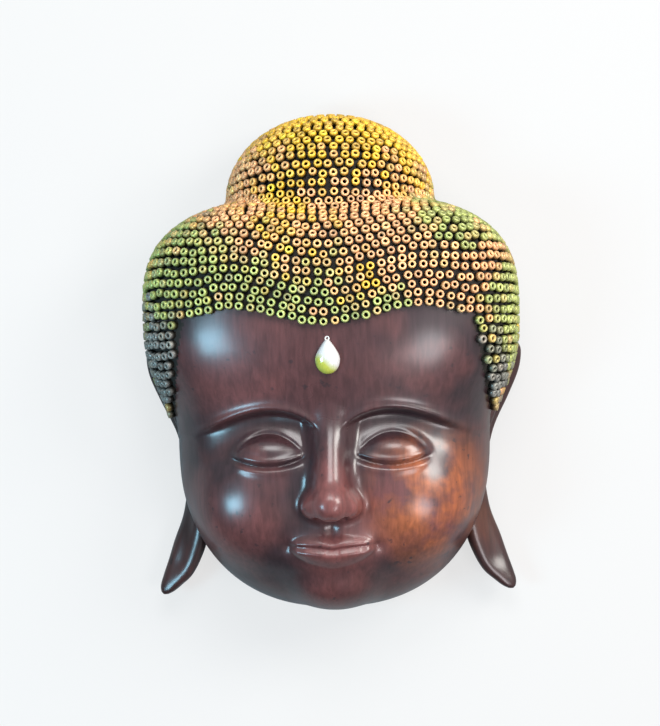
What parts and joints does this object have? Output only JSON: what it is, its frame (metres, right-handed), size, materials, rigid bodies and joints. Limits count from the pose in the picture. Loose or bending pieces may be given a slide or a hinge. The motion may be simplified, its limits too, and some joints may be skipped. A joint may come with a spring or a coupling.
{
  "type": "wooden wall mask",
  "caption": "Hollow wooden mask of a calm, downcast head with long ears, rows of small ring curls, a topknot and a drop stone on the forehead.",
  "frame": {"origin": "middle of the mask's bounding box, in the plane of the flat back rim that it lies on", "axes": "+Y to the top of the head, +X to the right as seen from the front, +Z out of the face"},
  "size_m": [0.3062, 0.4001, 0.1493],
  "materials": {
    "dark_wood": "dark, polished, with red-brown lights",
    "ring_curls": "mottled gold, tan, green and grey",
    "pearl_stone": "glossy pearly white and pale yellow"
  },
  "bodies": {
    "root": {"carved_mask": "dark_wood", "curl_cap": "ring_curls", "topknot_curls": "ring_curls", "brow_drop": "pearl_stone"}
  },
  "joints": []
}
